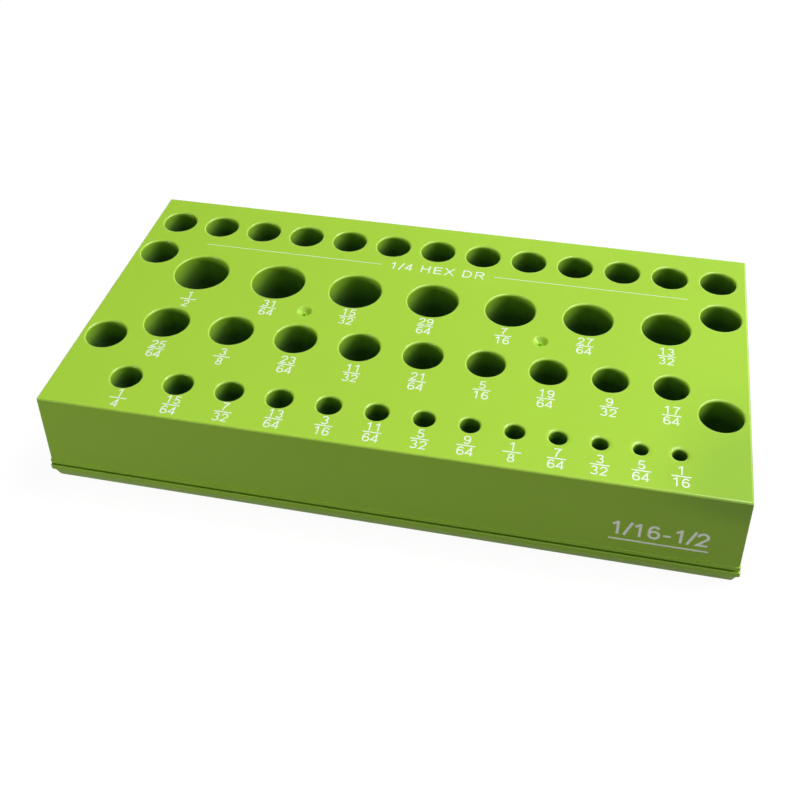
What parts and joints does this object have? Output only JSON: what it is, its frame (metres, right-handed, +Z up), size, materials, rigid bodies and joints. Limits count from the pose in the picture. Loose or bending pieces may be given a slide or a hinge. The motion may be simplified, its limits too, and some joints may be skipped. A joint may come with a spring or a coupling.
{
  "type": "magnetic drill bit holder",
  "caption": "Low moulded rack whose top deck holds drill bits upright in graded round sockets, on a base plate with magnets.",
  "frame": {"origin": "centre of the underside, where the rack stands", "axes": "+X along the rack to the right, as its fractions are read; +Y to the back; +Z up, out of the sockets"},
  "size_m": [0.1588, 0.0846, 0.0254],
  "materials": {
    "green_plastic": "gloss moulded ABS",
    "sheet_steel": "blackened steel sheet",
    "cup_steel": "zinc plated",
    "magnet_plating": "nickel plated",
    "screw_steel": "zinc plated"
  },
  "bodies": {
    "root": {"body_shell": "green_plastic", "base_plate": "green_plastic", "floor_sheet": "sheet_steel", "magnet_cup_1": "cup_steel", "magnet_cup_2": "cup_steel", "magnet_cup_3": "cup_steel", "magnet_cup_4": "cup_steel", "magnet_cup_5": "cup_steel", "magnet_cup_6": "cup_steel", "magnet_cup_7": "cup_steel", "magnet_cup_8": "cup_steel", "magnet_1": "magnet_plating", "magnet_2": "magnet_plating", "magnet_3": "magnet_plating", "magnet_4": "magnet_plating", "magnet_5": "magnet_plating", "magnet_6": "magnet_plating", "magnet_7": "magnet_plating", "magnet_8": "magnet_plating", "screw_1": "screw_steel", "screw_2": "screw_steel", "screw_3": "screw_steel", "screw_4": "screw_steel", "screw_5": "screw_steel", "screw_6": "screw_steel"}
  },
  "joints": []
}
